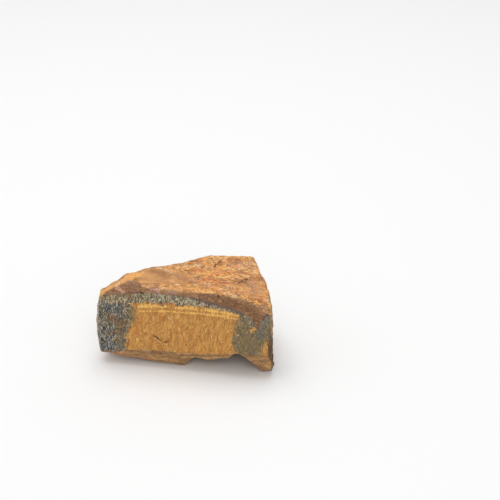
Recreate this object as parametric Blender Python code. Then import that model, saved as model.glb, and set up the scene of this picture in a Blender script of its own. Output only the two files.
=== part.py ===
"""A rough chunk of tiger's eye, modelled as the one solid it is.

The chunk is a wedge broken from a seam of cross-fibre quartz. The fibres stand along Z. The upright
silk face is the seam seen in section, the crown is the iron-stained wall of the seam, and the rest
is broken stone. X runs along the silk face, Y from that face into the stone and Z up. The finished
stone stands on Z = 0, centred on the origin.
"""

import math

import bmesh
import bpy
import numpy as np
from mathutils import Matrix, Vector, noise

MM = 0.001

# Driving sizes, in millimetres. The block is laid out with its silk face near Y = 0.
CROWN_Z = 38.0  # highest corner, at the back
RIDGE_Z = 35.2  # where the crown breaks off towards the silk face
FACE_LEAN = math.radians(5)  # the silk face leans back by this
FACE_MID_Z = 15.0  # height at which the silk face crosses Y = 0
VOXEL = 0.5  # grid that fuses the broken faces into one skin
MIDDLE = (1.35, 21.65, 0.0)  # middle of the block's base, which becomes the origin
FLAT_BELOW = 0.35  # what comes this near the ground is flat on it, as the stone rests there
TRIANGLES = 8000  # of the finished solid

# Depths of the broken surface, in millimetres.
WARP = 0.7  # slow swelling of every face
LEDGES = 0.42  # low ledges along the crown
RUBBLE = 0.36  # small pits and lumps in the middle of the crown
FLUTES = 0.75  # columns of fibre down the ends and the back
SILK = 0.16  # the same on the silk face, which is nearly flat
LUMPS = 0.6  # under the stone
CHIPS = 0.55  # share of an edge that is chipped away
HOLLOWS = 2.2  # in the base, round the pad

# Sizes of the lumps that make them up, along X, Y and Z in millimetres: the main ones, then the others.
WARP_SIZE = (17, 17, 17)
LEDGE_SIZES = ((15, 4.4, 9), (4.5, 1.8, 4))
RUBBLE_SIZES = ((3.2, 2.2, 3), (1.8, 1.4, 2))
FLUTE_SIZES = ((2.6, 2.6, 17), (6.5, 6.5, 30))
LUMP_SIZES = ((5, 5, 4), (2.2, 2.2, 2.2))
CHIP_SIZE = (4, 4, 4)
HOLLOW_SIZE = (9, 7, 9)
PATCH_SIZE = (11, 8, 11)  # the crown is rougher in some patches than in others

# Places on the block, in millimetres.
PAD_X, PAD_Y, PAD_RADIUS = 12.0, 29.0, 6.0  # the flat pad in the base
RUBBLE_X, RUBBLE_Y, RUBBLE_RADIUS = 5.0, 14.0, 12.0  # the rough middle of the crown
DISH_X, DISH_Y, DISH_RADIUS = -13.5, 13.0, 7.5  # the smooth dish on the crown
GROUND_FADE = (0.4, 3.0)  # heights between which the relief grows from nothing to all of it
EDGE_ROUNDS = 14  # how far the skin is smoothed to find its edges

STONE_BROWN = (0.36, 0.19, 0.07, 1.0)


def on_face(x, z):
    """A point of the silk face, from how far along and how high it is."""
    return (x, (z - FACE_MID_Z) * math.tan(FACE_LEAN), z)


def remove_everything():
    for old in list(bpy.data.objects):
        bpy.data.objects.remove(old)


def object_from(bm, name):
    mesh = bpy.data.meshes.new(name)
    bm.to_mesh(mesh)
    bm.free()
    made = bpy.data.objects.new(name, mesh)
    bpy.context.scene.collection.objects.link(made)
    return made


def hull(name, corners):
    """The convex solid that has these corners, given in millimetres."""
    bm = bmesh.new()
    for corner in corners:
        bm.verts.new(Vector(corner) * MM)
    found = bmesh.ops.convex_hull(bm, input=bm.verts)
    inside = set(found["geom_interior"]) | set(found["geom_unused"])
    bmesh.ops.delete(bm, geom=[v for v in inside if isinstance(v, bmesh.types.BMVert)], context="VERTS")
    bmesh.ops.recalc_face_normals(bm, faces=bm.faces)
    return object_from(bm, name)


# ---- the block, as the corners of its broken faces


def silk_face_corners():
    """The upright face in which the fibres show, from its lower edge, or sill, to its brow."""
    sill = [on_face(-34.4, 5.2), on_face(-23, 7), on_face(22, 9.7), on_face(37.8, 11.6)]
    ends = [on_face(-35.2, 13), on_face(-35.6, 27), on_face(38.2, 19), on_face(39.5, 25)]
    brow = [on_face(-32.2, 31.2), on_face(-16.2, 33.3), on_face(7, 33.4)]
    brow += [on_face(18.8, 31.8), on_face(39, 30)]
    return sill + ends + brow


def crown_corners():
    """The wall of the seam, on top: the ridge over the silk face, then the back edge."""
    left = [(-32.2, 1.6, 31.9), (-27.5, 2.5, 34.7), (-22.5, 4.6, 36.3), (-19.5, 8, 36.4)]
    ridge = [(-12.4, 2.6, RIDGE_Z), (7, 2.6, RIDGE_Z), (20, 3.6, 35), (28.6, 4, 33), (38.3, 4.4, 31)]
    back = [(-35.2, 5.4, 30.8), (-30.8, 9.4, 33.6), (-25.4, 14.1, 36)]
    back += [(-16.4, 19.8, 36.2), (-6, 26.5, 36.5)]
    rear = [(5.7, 34.2, CROWN_Z), (24.1, 36.6, CROWN_Z)]
    right = [(30.1, 24.1, 36), (35.1, 14.1, 33.5)]
    return left + ridge + back + rear + right


def waist_corners():
    """The broken ends and back, about half way down."""
    left = [(-36.6, 5, 12), (-36.4, 6, 25), (-35.6, 12, 14)]
    back = [(-27, 23, 18), (-9, 36, 20), (7, 43.5, 18), (23, 44.5, 22)]
    right = [(32, 30, 20), (36.3, 14, 15), (39.2, 3, 24)]
    return left + back + right


def ground_corners():
    """What the stone stands on: the bump and the foot in front, and the broad base behind."""
    lip = [(-33.5, 0.4, 4.3), (-34.5, 9, 4), (-20, 1.2, 3), (0.5, 3.1, 0)]
    foot = [(34, 5.6, 0), (39.0, 3.2, 3.0), (38.2, 7.6, 0)]
    base = [(-18, 13, 0), (-16, 24, 0), (-2, 34, 0), (10, 40, 0), (26, 39, 0), (33, 24, 0)]
    return lip + foot + base


# ---- what was knocked out of it


def under_hollow():
    """The arch under the sill, between the bump and the foot. It closes towards the back."""
    mouth = [(-0.5, -1), (2.8, 2.2), (6.0, 5.4), (12.1, 4.7), (19.9, 7.4)]
    mouth += [(22.5, 9.6), (25.2, 10.8), (28.4, 8.8), (34.6, -1)]
    ends = [(7, -1), (9, 1.6), (11, 2.2), (15, 2.6), (19, 3.0), (22, 3.4), (24, 3.4), (26, 2.8), (31, -1)]
    bm = bmesh.new()
    rings = []
    for outline, y in ((mouth, -12), (mouth, 2.5), (ends, 21)):
        rings.append([bm.verts.new(Vector((x, y, z)) * MM) for x, z in outline])
    bm.faces.new(rings[0])
    bm.faces.new(rings[-1])
    for near, far in zip(rings, rings[1:]):
        for i in range(len(near)):
            j = (i + 1) % len(near)
            bm.faces.new((near[i], near[j], far[j], far[i]))
    bmesh.ops.recalc_face_normals(bm, faces=bm.faces)
    return object_from(bm, "under_hollow")


def scoop(name, centre, radii, turn=(0, 0, 0), taper=0.0):
    """A shell-shaped break, cut by an egg turned about X, Y and Z by degrees.

    taper makes the lower end of the egg narrower, along its own X, by that share.
    """
    bm = bmesh.new()
    bmesh.ops.create_icosphere(bm, subdivisions=4, radius=1.0)
    for v in bm.verts:
        v.co.x *= 1 + taper * v.co.z
    place = Matrix.Translation(Vector(centre) * MM)
    for axis, degrees in zip("ZYX", reversed(turn)):
        place = place @ Matrix.Rotation(math.radians(degrees), 4, axis)
    place = place @ Matrix.Diagonal((*[r * MM for r in radii], 1.0))
    bm.transform(place)
    return object_from(bm, name)


def crown_breaks():
    """The dish, the pit and the step on the crown."""
    dish = scoop("dish", (-13.2, 13, 43.2), (12.5, 15, 7.6), (3, -2, -12))
    pit_mouth = [(9.2, 21, 40), (9.2, 30.6, 40), (12.6, 31, 40), (14, 23, 40)]
    pit_floor = [(9.9, 22.5, 36.0), (9.9, 29.4, 36.3), (12.4, 29.8, 36.4), (13, 24, 36.2)]
    step_top = [(21.0, 12.6, 44), (24, 19.4, 44), (27, 20.4, 44), (24, 2, 44), (36, 8, 44), (34, 17, 44)]
    step_floor = [(21.6, 12.6, 35.2), (24.2, 18.6, 35.3), (26.8, 19.8, 35.2)]
    step_floor += [(24, 2, 35.2), (36, 8, 34.2), (34, 17, 34.9)]
    return [dish, hull("pit", pit_mouth + pit_floor), hull("step", step_floor + step_top)]


def back_breaks():
    """The shelf and the shells that the back and the ends broke with."""
    shelf_floor = [(-31, 16.4, 27), (-14, 22.2, 25.5), (2, 33.4, 23), (7, 40, 22), (9, 54, 19), (-32, 40, 24)]
    shelf_top = [(-31, 14.6, 46), (-15, 21.8, 46), (3, 34.6, 46), (11, 44, 46), (9, 58, 46), (-34, 40, 46)]
    shelf = hull("shelf", shelf_floor + shelf_top)
    low_floor = [(-33, 14.6, 17), (-23, 20.4, 16), (-18, 27, 13), (-22, 36, 12), (-40, 26, 14)]
    low_top = [(-34, 13, 31), (-22, 20.0, 31), (-15.5, 27.4, 31), (-20, 40, 31), (-44, 26, 31)]
    step_down = hull("step_down", low_floor + low_top)
    lower_shell = scoop("lower_shell", (18, 50, 8), (14, 9, 11), (0, 10, 8))
    end_shell = scoop("end_shell", (40.5, 27, 5), (10.5, 13, 17), (-15, 0, 18))
    end_nick = scoop("end_nick", (42.2, 0.5, 15.5), (3.9, 7, 8.5))
    edge_shell = scoop("edge_shell", (-12, 31.5, 37.5), (21, 8.6, 9), (0, 0, 30))
    return [shelf, step_down, lower_shell, end_shell, end_nick, edge_shell]


def cutters():
    brow_shell = scoop("brow_shell", (27.5, -3, 33), (13, 6.6, 13.5), (0, -28, 0), taper=0.55)
    return [under_hollow(), brow_shell, *crown_breaks(), *back_breaks()]


# ---- the broken surface


def cut(block, tools):
    for tool in tools:
        tool.hide_render = True
        tool.display_type = "WIRE"
        boolean = block.modifiers.new(tool.name, "BOOLEAN")
        boolean.operation = "DIFFERENCE"
        boolean.solver = "EXACT"
        boolean.object = tool


def fuse(block):
    remesh = block.modifiers.new("skin", "REMESH")
    remesh.mode = "VOXEL"
    remesh.voxel_size = VOXEL * MM


def evaluated_mesh(source):
    graph = bpy.context.evaluated_depsgraph_get()
    return bpy.data.meshes.new_from_object(source.evaluated_get(graph))


def ramp(value, low, high):
    """0 below low, 1 above high, and smooth between them."""
    t = np.clip((value - low) / (high - low), 0, 1)
    return t * t * (3 - 2 * t)


def wave(points, size, seed):
    """Smooth noise between about -1 and 1 whose lumps are size long, in millimetres along X, Y, Z."""
    shifted = points / np.array(size) + 17.3 * seed
    return np.array([noise.noise(Vector(p)) for p in shifted.tolist()])


def waves(points, sizes, seed, share):
    """Two waves, the second at that share of the first one's height. Their seeds follow each other."""
    first, second = sizes
    return wave(points, first, seed) + share * wave(points, second, seed + 1)


def smoothed(points, edges, rounds):
    """The points after each has moved half way to its neighbours, that many times."""
    count = len(points)
    ends = np.concatenate([edges, edges[:, ::-1]])
    near = np.bincount(ends[:, 0], minlength=count)[:, None]
    for _ in range(rounds):
        total = np.stack([np.bincount(ends[:, 0], points[ends[:, 1], k], count) for k in range(3)], axis=1)
        points = (points + total / near) / 2
    return points


def crown_relief(points):
    """Low ledges, which stop at the smooth dish, and rubble in the middle."""
    x, y, _ = points.T
    rise = 2.8 * waves(points, LEDGE_SIZES, 1, 1 / 7)
    ledges = np.floor(rise) + ramp(rise - np.floor(rise), 0.7, 1.0) - rise * 0.5
    patches = np.clip(0.6 + 1.1 * wave(points, PATCH_SIZE, 12), 0.1, 1.3)
    to_dish = np.hypot(x - DISH_X, (y - DISH_Y) * 0.85)
    to_rubble = np.hypot((x - RUBBLE_X) * 0.75, y - RUBBLE_Y)
    outside_dish = 1 - 0.85 * ramp(DISH_RADIUS - to_dish, 0, 2)
    rubble = ramp(RUBBLE_RADIUS - to_rubble, 0, 5) * waves(points, RUBBLE_SIZES, 3, 0.6)
    return LEDGES * ledges * patches * outside_dish + RUBBLE * rubble


def chips(points, normals, edges):
    """How much is chipped off wherever the skin stands proud of its smoothed self."""
    proud = np.sum((points - smoothed(points, edges, EDGE_ROUNDS)) * normals, axis=1)
    some = np.clip(0.6 + 1.4 * wave(points, CHIP_SIZE, 9), 0, 1.4)
    return CHIPS * np.clip(proud, 0, None) * some


def relief(points, normals, edges):
    """How far each point of the skin moves along its normal, in millimetres."""
    y, z = points[:, 1], points[:, 2]
    crown = ramp(normals[:, 2], 0.55, 0.85)
    sole = ramp(-normals[:, 2], 0.35, 0.75)
    silk = ramp(-normals[:, 1], 0.85, 0.97) * ramp(3.5 - y, 0, 1.5)
    brow = ramp(z, 19, 23) * ramp(7 - y, 0, 2)
    wall = np.clip(1 - crown - sole - silk, 0, 1) * (1 - 0.85 * brow)
    flutes = waves(points, FLUTE_SIZES, 5, 0.7)
    slow = WARP * wave(points, WARP_SIZE, 10) * (1 - 0.8 * silk)
    under = LUMPS * waves(points, LUMP_SIZES, 7, 0.4)
    faces = crown * crown_relief(points) + (wall * FLUTES + silk * SILK) * flutes + sole * under
    return slow + faces - chips(points, normals, edges)


def break_surface(mesh):
    """Moves the skin's points by the relief, and grinds flat what meets the ground."""
    count = len(mesh.vertices)
    points = np.empty(count * 3, np.float32)
    mesh.vertices.foreach_get("co", points)
    points = points.reshape(-1, 3).astype(float) / MM
    normals = np.array([n.vector[:] for n in mesh.vertex_normals])
    edges = np.array([e.vertices[:] for e in mesh.edges])
    x, y, z = points.T
    keep = ramp(z, *GROUND_FADE)
    points += normals * (relief(points, normals, edges) * keep)[:, None]
    pad = ramp(np.hypot(x - PAD_X, y - PAD_Y), PAD_RADIUS, PAD_RADIUS + 4)
    hollow = HOLLOWS * np.clip(wave(points, HOLLOW_SIZE, 11) + 0.15, 0, 1) * pad * (1 - keep)
    points[:, 2] += hollow * ramp(-normals[:, 2], 0.5, 0.9)
    points[:, 2] = np.where(points[:, 2] < FLAT_BELOW, 0, points[:, 2])
    mesh.vertices.foreach_set("co", (points * MM).ravel())
    mesh.update()


def thin_out(skin):
    """The skin with TRIANGLES triangles, most of them where it turns, and nothing below the ground."""
    dense = bpy.data.objects.new("dense_skin", skin)
    bpy.context.scene.collection.objects.link(dense)
    skin.calc_loop_triangles()
    decimate = dense.modifiers.new("facets", "DECIMATE")
    decimate.ratio = TRIANGLES / len(skin.loop_triangles)
    decimate.use_collapse_triangulate = True
    thinned = evaluated_mesh(dense)
    bpy.data.objects.remove(dense)
    for vertex in thinned.vertices:
        vertex.co.z = max(vertex.co.z, 0)
    return thinned


def stone_finish():
    finish = bpy.data.materials.new("stone")
    finish.use_nodes = True
    shader = finish.node_tree.nodes["Principled BSDF"]
    shader.inputs["Base Color"].default_value = STONE_BROWN
    shader.inputs["Roughness"].default_value = 0.7
    shader.inputs["Metallic"].default_value = 0.0
    return finish


def main():
    remove_everything()
    corners = silk_face_corners() + crown_corners() + waist_corners() + ground_corners()
    block = hull("block", corners)
    cut(block, cutters())
    fuse(block)
    skin = evaluated_mesh(block)
    block.hide_render = True
    block.display_type = "WIRE"
    break_surface(skin)
    skin.transform(Matrix.Translation(-Vector(MIDDLE) * MM))
    stone = bpy.data.objects.new("rough_tigers_eye", thin_out(skin))
    bpy.context.scene.collection.objects.link(stone)
    stone.data.materials.append(stone_finish())


main()
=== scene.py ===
# %% [markdown]
# # A rough chunk of tiger's eye
#
# Tiger's eye is quartz that grew as thin upright threads in a crack of iron-rich rock. A chunk broken out
# of its seam shows four quite different surfaces. On the silk face the threads are seen from the side, and
# are gold where iron has rusted in them and blue-grey where it has not. The crown was the wall of the seam
# and is stained orange and brown. The bevels round it broke smoothly, like glass. The rest is raw break.
# The packed solid already has the whole form. This file gives it a fine surface and a finish, and never
# changes its size.

# %% Load the solid
import math

import bmesh
import bpy
import numpy as np
from mathutils import Matrix, Vector, noise


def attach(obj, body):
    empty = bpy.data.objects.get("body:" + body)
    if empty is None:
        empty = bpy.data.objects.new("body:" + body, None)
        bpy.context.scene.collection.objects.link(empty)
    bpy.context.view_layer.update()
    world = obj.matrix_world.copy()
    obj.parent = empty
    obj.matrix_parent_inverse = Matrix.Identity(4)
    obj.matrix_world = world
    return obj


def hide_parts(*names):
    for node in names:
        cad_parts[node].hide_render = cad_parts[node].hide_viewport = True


MM = 0.001
NODE = "rough_tigers_eye"

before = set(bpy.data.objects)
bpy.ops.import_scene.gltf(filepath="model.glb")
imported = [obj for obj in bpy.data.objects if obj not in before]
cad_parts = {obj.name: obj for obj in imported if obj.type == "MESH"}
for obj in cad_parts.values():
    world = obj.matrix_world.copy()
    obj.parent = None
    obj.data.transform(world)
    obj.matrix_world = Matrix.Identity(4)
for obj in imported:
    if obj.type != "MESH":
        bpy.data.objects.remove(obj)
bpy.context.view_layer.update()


def placed(name, data):
    """A new object in the scene, at the origin."""
    made = bpy.data.objects.new(name, data)
    bpy.context.scene.collection.objects.link(made)
    return made


def mesh_from(bm, name):
    mesh = bpy.data.meshes.new(name)
    bm.to_mesh(mesh)
    bm.free()
    return mesh


# %% [markdown]
# ## Camera
#
# The camera comes first, because it decides how much detail is worth making. A long lens from half a metre
# away keeps the stone's edges nearly parallel. It looks at the silk face a little from the right, and down
# at 25 degrees, so that the silk face and the crown both show. Its place and its own three axes are given
# directly, which is exact and leaves nothing to a constraint.

# %% Make the camera
CAMERA_TURN = math.radians(12)
CAMERA_DOWN = math.radians(25)
CAMERA_PLACE = Vector((0.13263, -0.51041, 0.29110))
LENS, SENSOR = 100, 36  # millimetres
NEAREST = 0.01  # metres


def camera_axes(turn, down):
    """The camera's right, up and backward directions, as the rows of a matrix."""
    back = Vector((math.sin(turn) * math.cos(down), -math.cos(turn) * math.cos(down), math.sin(down)))
    right = Vector((math.cos(turn), math.sin(turn), 0))
    return Matrix((right, back.cross(right), back))


camera = placed("camera", bpy.data.cameras.new("camera"))
camera.data.lens, camera.data.sensor_width, camera.data.clip_start = LENS, SENSOR, NEAREST
turned = camera_axes(CAMERA_TURN, CAMERA_DOWN).transposed().to_4x4()
camera.matrix_world = Matrix.Translation(CAMERA_PLACE) @ turned
bpy.context.scene.camera = camera
print("camera is", round(CAMERA_PLACE.length, 3), "m away")

# %% [markdown]
# ## Floor and light
#
# A pale sweep of paper and big soft lamps are what a studio uses for minerals, because one hard lamp
# would fill the rough crown with black specks. The world adds an even fill, so that the silk face, which
# looks away from the top lamp, is still well lit. The Standard view keeps the paper pale, where a filmic
# one would turn it grey.

# %% Make the floor, the lamps and the world
FLOOR_SIDE = 6.0
PAPER = {"Base Color": (0.9, 0.9, 0.9, 1), "Roughness": 0.9, "Specular IOR Level": 0.1}
LAMPS = {"top_lamp": ((-0.15, 0.25, 1.1), 0.9, 6.0),  # place and side in metres, and watts
         "front_lamp": ((0.35, -1.1, 0.75), 0.8, 4.0)}
AIM = Vector((0, 0, 0.02))
FILL = 0.62


def make_floor():
    bm = bmesh.new()
    bmesh.ops.create_grid(bm, x_segments=1, y_segments=1, size=FLOOR_SIDE / 2)
    mesh = mesh_from(bm, "floor")
    paper = bpy.data.materials.new("pale_paper")
    paper.use_nodes = True
    shader = paper.node_tree.nodes["Principled BSDF"]
    for name, value in PAPER.items():
        shader.inputs[name].default_value = value
    mesh.materials.append(paper)
    placed("floor", mesh)


def make_lamp(name, place, side, watts):
    """A square soft lamp that faces the stone."""
    light = bpy.data.lights.new(name, "AREA")
    light.size, light.energy = side, watts
    facing = (AIM - Vector(place)).to_track_quat("-Z", "Y").to_matrix().to_4x4()
    placed(name, light).matrix_world = Matrix.Translation(place) @ facing


def make_world():
    world = bpy.data.worlds.new("studio")
    world.use_nodes = True
    sky = world.node_tree.nodes["Background"]
    sky.inputs["Color"].default_value = (1, 1, 1, 1)
    sky.inputs["Strength"].default_value = FILL
    bpy.context.scene.world = world


make_floor()
for lamp, settings in LAMPS.items():
    make_lamp(lamp, *settings)
make_world()
bpy.context.scene.view_settings.view_transform = "Standard"

# %% [markdown]
# ## A finer skin
#
# The solid has eight thousand triangles, large where the stone is flat. Threads a fraction of a millimetre
# wide need small faces everywhere, all of about one size. So the stone of this scene is a copy of the
# solid, merged into one mesh, subdivided once to round its facets, and then remeshed with voxels. Subdivision
# rounds whatever it can, so the edges where the stone broke sharply are creased first.

# %% Copy the solid and refine it
CREASE_FROM, CREASE_FULL = math.radians(24), math.radians(48)  # how far the surface turns at the edge
GRID = 0.38  # millimetres between the points of the finer skin
SAME_POINT = 1e-6


def skin_copy(source, name):
    """One merged mesh from the solid's loose triangles, with its sharp edges creased."""
    bm = bmesh.new()
    bm.from_mesh(source.data)
    bmesh.ops.remove_doubles(bm, verts=bm.verts, dist=SAME_POINT)
    crease = bm.edges.layers.float.new("crease_edge")
    for edge in bm.edges:
        turn = edge.calc_face_angle(0)
        edge[crease] = min(max((turn - CREASE_FROM) / (CREASE_FULL - CREASE_FROM), 0), 1)
    return placed(name, mesh_from(bm, name))


def make_plain(source):
    """Turns what the object's modifiers show into its own mesh."""
    graph = bpy.context.evaluated_depsgraph_get()
    mesh = bpy.data.meshes.new_from_object(source.evaluated_get(graph))
    source.modifiers.clear()
    source.data = mesh


stone = skin_copy(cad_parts[NODE], "stone")
rounding = stone.modifiers.new("rounding", "SUBSURF")
rounding.levels = rounding.render_levels = 1
even = stone.modifiers.new("even", "REMESH")
even.mode = "VOXEL"
even.voxel_size = GRID * MM
make_plain(stone)
print("skin has", len(stone.data.vertices), "points and", len(stone.data.polygons), "faces")

# %% [markdown]
# ## Where each surface is
#
# A finish needs to know where it belongs. That could be painted by hand, but the stone's own form says
# most of it: the crown looks up, the silk face looks forward below the brow, and what stands proud of its
# surroundings is an edge. So every point of the skin gets masks from 0 to 1, worked out from its place and
# its direction. Normals are averaged over a few millimetres first, or each small pit would count as a wall.

# %% Measure the skin
FORM_ROUNDS, EDGE_ROUNDS = 12, 16  # how often the normals and the places are averaged


def read_skin(mesh):
    """The skin's points in millimetres, its normals and its edges, as arrays."""
    places = np.empty(len(mesh.vertices) * 3, np.float32)
    mesh.vertices.foreach_get("co", places)
    ends = np.empty(len(mesh.edges) * 2, np.int32)
    mesh.edges.foreach_get("vertices", ends)
    facing = np.array([n.vector[:] for n in mesh.vertex_normals])
    return places.reshape(-1, 3).astype(float) / MM, facing, ends.reshape(-1, 2)


def averaged(values, edges, rounds):
    """The values after each has moved half way to its neighbours' mean, that many times."""
    ends = np.concatenate([edges, edges[:, ::-1]])
    near = np.bincount(ends[:, 0], minlength=len(values))[:, None]
    for _ in range(rounds):
        total = np.stack([np.bincount(ends[:, 0], v[ends[:, 1]], len(values)) for v in values.T], axis=1)
        values = (values + total / near) / 2
    return values


def ramp(value, low, high):
    """0 below low, 1 above high, and smooth between them."""
    share = np.clip((value - low) / (high - low), 0, 1)
    return share * share * (3 - 2 * share)


def wave(places, size, seed):
    """Smooth noise between about -1 and 1, with lumps of this size in millimetres."""
    shifted = places / np.array(size) + 11.7 * seed
    return np.array([noise.noise(Vector(p)) for p in shifted.tolist()])


points, normals, edges = read_skin(stone.data)
broad = averaged(normals, edges, FORM_ROUNDS)
broad /= np.linalg.norm(broad, axis=1)[:, None]
proud = np.sum((points - averaged(points, edges, EDGE_ROUNDS)) * normals, axis=1)
print("edges stand", round(float(proud.max()), 2), "mm proud")
print("hollows lie", round(float(-proud.min()), 2), "mm deep")

# %% [markdown]
# The zones are drawn in millimetres, the silk face along X and Z. The brow is its upper end. It runs nearly
# level, then dips round the smooth shell that broke out of the right-hand corner. The sill is its lower end,
# over the undercut, and the gold panel lies between them. The ridge, along X and Y, is where the bevels
# above the brow meet the crown.

# %% Draw the silk face, the gold panel and the ridge
BROW = [(-40, 30.4), (-33.8, 31.1), (-29.7, 31.4), (-24.3, 32.1), (-17.8, 33.2), (-16.2, 33.7), (-5.6, 33.6),
        (0.0, 33.4), (5.0, 32.8), (10.3, 32.0), (15.5, 30.6), (19.3, 29.5), (22.8, 28.3), (25.1, 27.3),
        (28.2, 26.2), (29.8, 25.0), (31.3, 22.8), (32.8, 25.8), (35.2, 29.4), (37.0, 30.6), (42, 31)]
SILL = [(42, 11.2), (36.2, 10.8), (27.3, 10.4), (23.4, 10.6), (19.8, 10.0), (15.5, 9.2), (2.5, 8.5),
        (-15.9, 8.2), (-24.1, 7.1), (-28.5, 5.6), (-40, 4.4)]
GOLD = [(-21.8, 28.2), (-19.6, 28.7), (-15.9, 29.4), (-11.0, 29.6), (-4.4, 29.6), (3.0, 29.7), (8.5, 30.0),
        (14.1, 29.7), (18.4, 29.0), (21.6, 28.1), (23.8, 27.1), (24.2, 25.8), (23.0, 21.2), (21.5, 17.5),
        (21.3, 15.0), (22.6, 13.5), (24.0, 10.4), (19.8, 8), (2.5, 6), (-15.9, 6), (-24.5, 5), (-24.5, 7.2),
        (-24.0, 12.8), (-22.9, 16.8), (-21.6, 19.4), (-21.8, 21.6), (-21.5, 25.2)]
GOLD_AT_END = [(33.2, 9), (33.4, 13.8), (34.6, 16.7), (38, 17.4), (38, 9)]
RIDGE = [(-36, -19.6), (-33.6, -19.3), (-29.0, -19.3), (-26.1, -17.4), (-23.1, -15.1), (-21.6, -13.2),
         (-18.6, -16.4), (-17.6, -18.2), (-13.9, -18.6), (-9.5, -18.9), (-5.8, -19.0), (-0.6, -18.7),
         (2.6, -18.6), (7.2, -18.0), (12.4, -18.0), (15.7, -18.6), (20.4, -18.4), (24.5, -17.9),
         (28.4, -17.3), (31.3, -16.4), (34.7, -17.0), (38, -17.6)]
FACE_LEAN = math.radians(5)
FACE_Z, FACE_Y = 15.0, -21.65  # a point on the leaning face


def distance_to(flat, line):
    """How far each flat point is from a line through the given points. A single point is a dot."""
    nearest = np.full(len(flat), np.inf)
    for start, end in zip(line, line[1:] or line):
        span = np.subtract(end, start)
        along = np.clip((flat - start) @ span / max(span @ span, 1e-9), 0, 1)
        nearest = np.minimum(nearest, np.linalg.norm(flat - start - along[:, None] * span, axis=1))
    return nearest


def depth_inside(flat, outline):
    """How deep inside a closed outline each flat point is. Outside, it is negative."""
    closed = outline + outline[:1]
    inside = np.zeros(len(flat), bool)
    for (ax, ay), (bx, by) in zip(closed, closed[1:]):
        if ay != by:
            crossed = (flat[:, 1] < ay) != (flat[:, 1] < by)
            inside ^= crossed & (flat[:, 0] < ax + (flat[:, 1] - ay) * (bx - ax) / (by - ay))
    away = distance_to(flat, closed)
    return np.where(inside, away, -away)


print("the gold panel has", len(GOLD), "corners, and the ridge", len(RIDGE))

# %% [markdown]
# Each mask below is a product of ramps, one for each thing that has to be true of a point: how far it lies
# behind the silk face, how high it is, and which way it faces. Two waves of noise push the borders about
# first, or they would look drawn.

# %% Work out the mask of each surface
x, y, z = points.T
faces_right, faces_back, faces_up = broad.T
front_view, top_view = points[:, [0, 2]], points[:, [0, 1]]
wander = np.stack([wave(points, (2.4, 2.4, 2.4), seed) for seed in (1, 2)], axis=1)
tremble = np.stack([wave(points, (0.9, 0.9, 1.8), 3), wave(points, (0.9, 0.9, 0.9), 4)], axis=1)
ragged = 0.35 * wander + 0.25 * tremble

behind_face = y - FACE_Y - (z - FACE_Z) * math.tan(FACE_LEAN)
at_front = ramp(2.6 - behind_face, 0, 1.2) * ramp(-faces_back, 0.45, 0.7)
silk_depth = depth_inside(front_view + 0.3 * ragged, BROW + SILL)
brow_depth = distance_to(front_view + 0.3 * ragged, BROW)
silk = at_front * ramp(silk_depth, -0.15, 0.25)
before_ridge = np.interp(x, *zip(*RIDGE)) - y + 0.6 * ragged[:, 1]
bevel = ramp(before_ridge, -0.25, 0.25) * ramp(z, 20, 22) * (1 - silk) * ramp(faces_right, -0.9, -0.75)
undercut = ramp(11 - behind_face, 0, 3) * ramp(13 - z, 0, 1.5) * (1 - silk)
undercut *= ramp(-faces_back - faces_up, 0.3, 0.6)
crown = ramp(faces_up, 0.45, 0.7) * (1 - bevel) * (1 - silk) * ramp(z, 27, 29)
for name, mask in (("silk face", silk), ("bevels", bevel), ("crown", crown), ("undercut", undercut)):
    print(name, "takes", round(100 * float((mask > 0.5).mean())), "% of the skin")
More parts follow.
